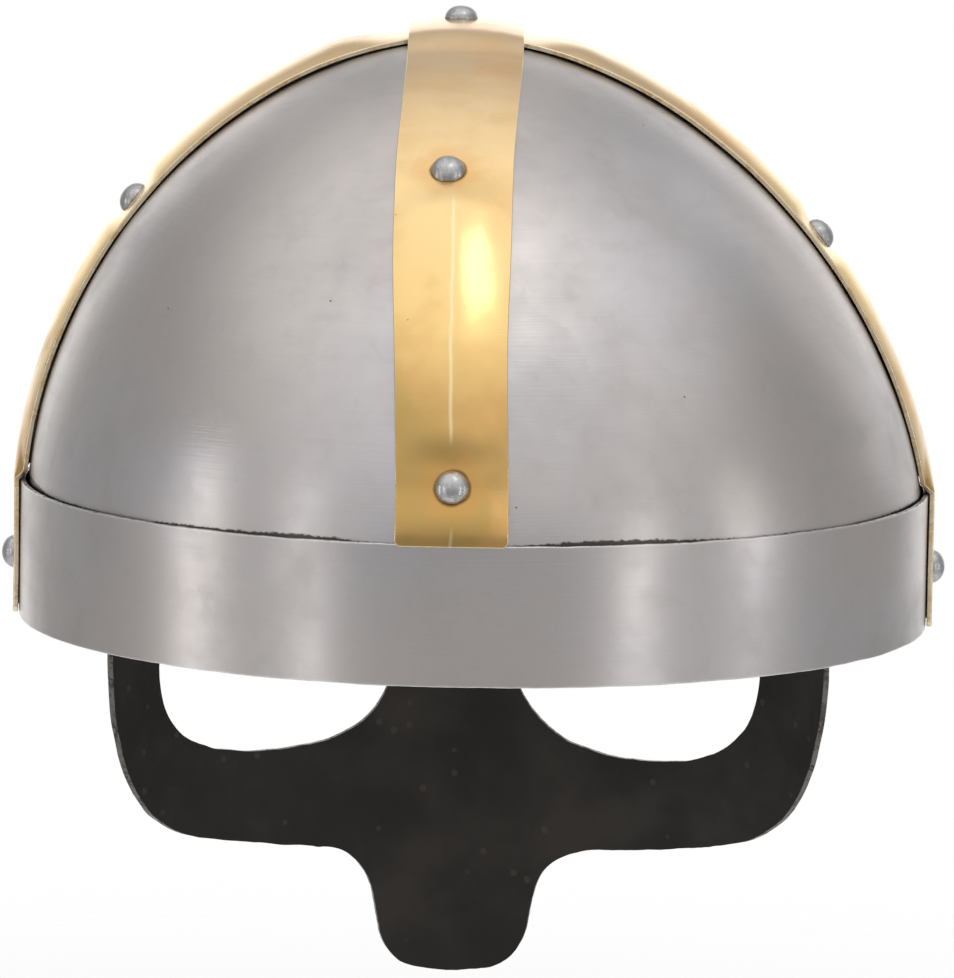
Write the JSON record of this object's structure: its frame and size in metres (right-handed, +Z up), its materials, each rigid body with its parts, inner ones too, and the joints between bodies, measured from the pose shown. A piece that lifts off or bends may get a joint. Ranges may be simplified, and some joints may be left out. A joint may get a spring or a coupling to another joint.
{
  "type": "spangenhelm helmet",
  "caption": "Domed steel helmet of plates held by brass straps and a brow band, with domed rivets and a spectacle guard with a nose piece.",
  "frame": {"origin": "centre of the rim opening, in the plane of the brow band's lower edge, where the helmet sits on the head", "axes": "+Z up through the crown, the face looks along -Y, +X towards the wearer's left"},
  "size_m": [0.227, 0.2439, 0.2544],
  "materials": {
    "bowl_steel": "satin polished, fine level brushing",
    "band_steel": "satin polished",
    "guard_steel": "satin outside, dark unpolished scale inside",
    "strap_brass": "polished, hand hammered",
    "rivet_steel": "polished"
  },
  "bodies": {
    "root": {"bowl_plate_rear_left": "bowl_steel", "bowl_plate_rear_right": "bowl_steel", "bowl_plate_front_left": "bowl_steel", "bowl_plate_front_right": "bowl_steel", "side_strap": "strap_brass", "crest_strap": "strap_brass", "brow_band": "band_steel", "spectacle_guard": "guard_steel", "rivet_crown": "rivet_steel", "rivet_rear_upper": "rivet_steel", "rivet_rear_lower": "rivet_steel", "rivet_front_upper": "rivet_steel", "rivet_front_lower": "rivet_steel", "rivet_left_upper": "rivet_steel", "rivet_left_lower": "rivet_steel", "rivet_right_upper": "rivet_steel", "rivet_right_lower": "rivet_steel", "rivet_guard_centre": "rivet_steel", "rivet_guard_left": "rivet_steel", "rivet_guard_right": "rivet_steel"}
  },
  "joints": []
}
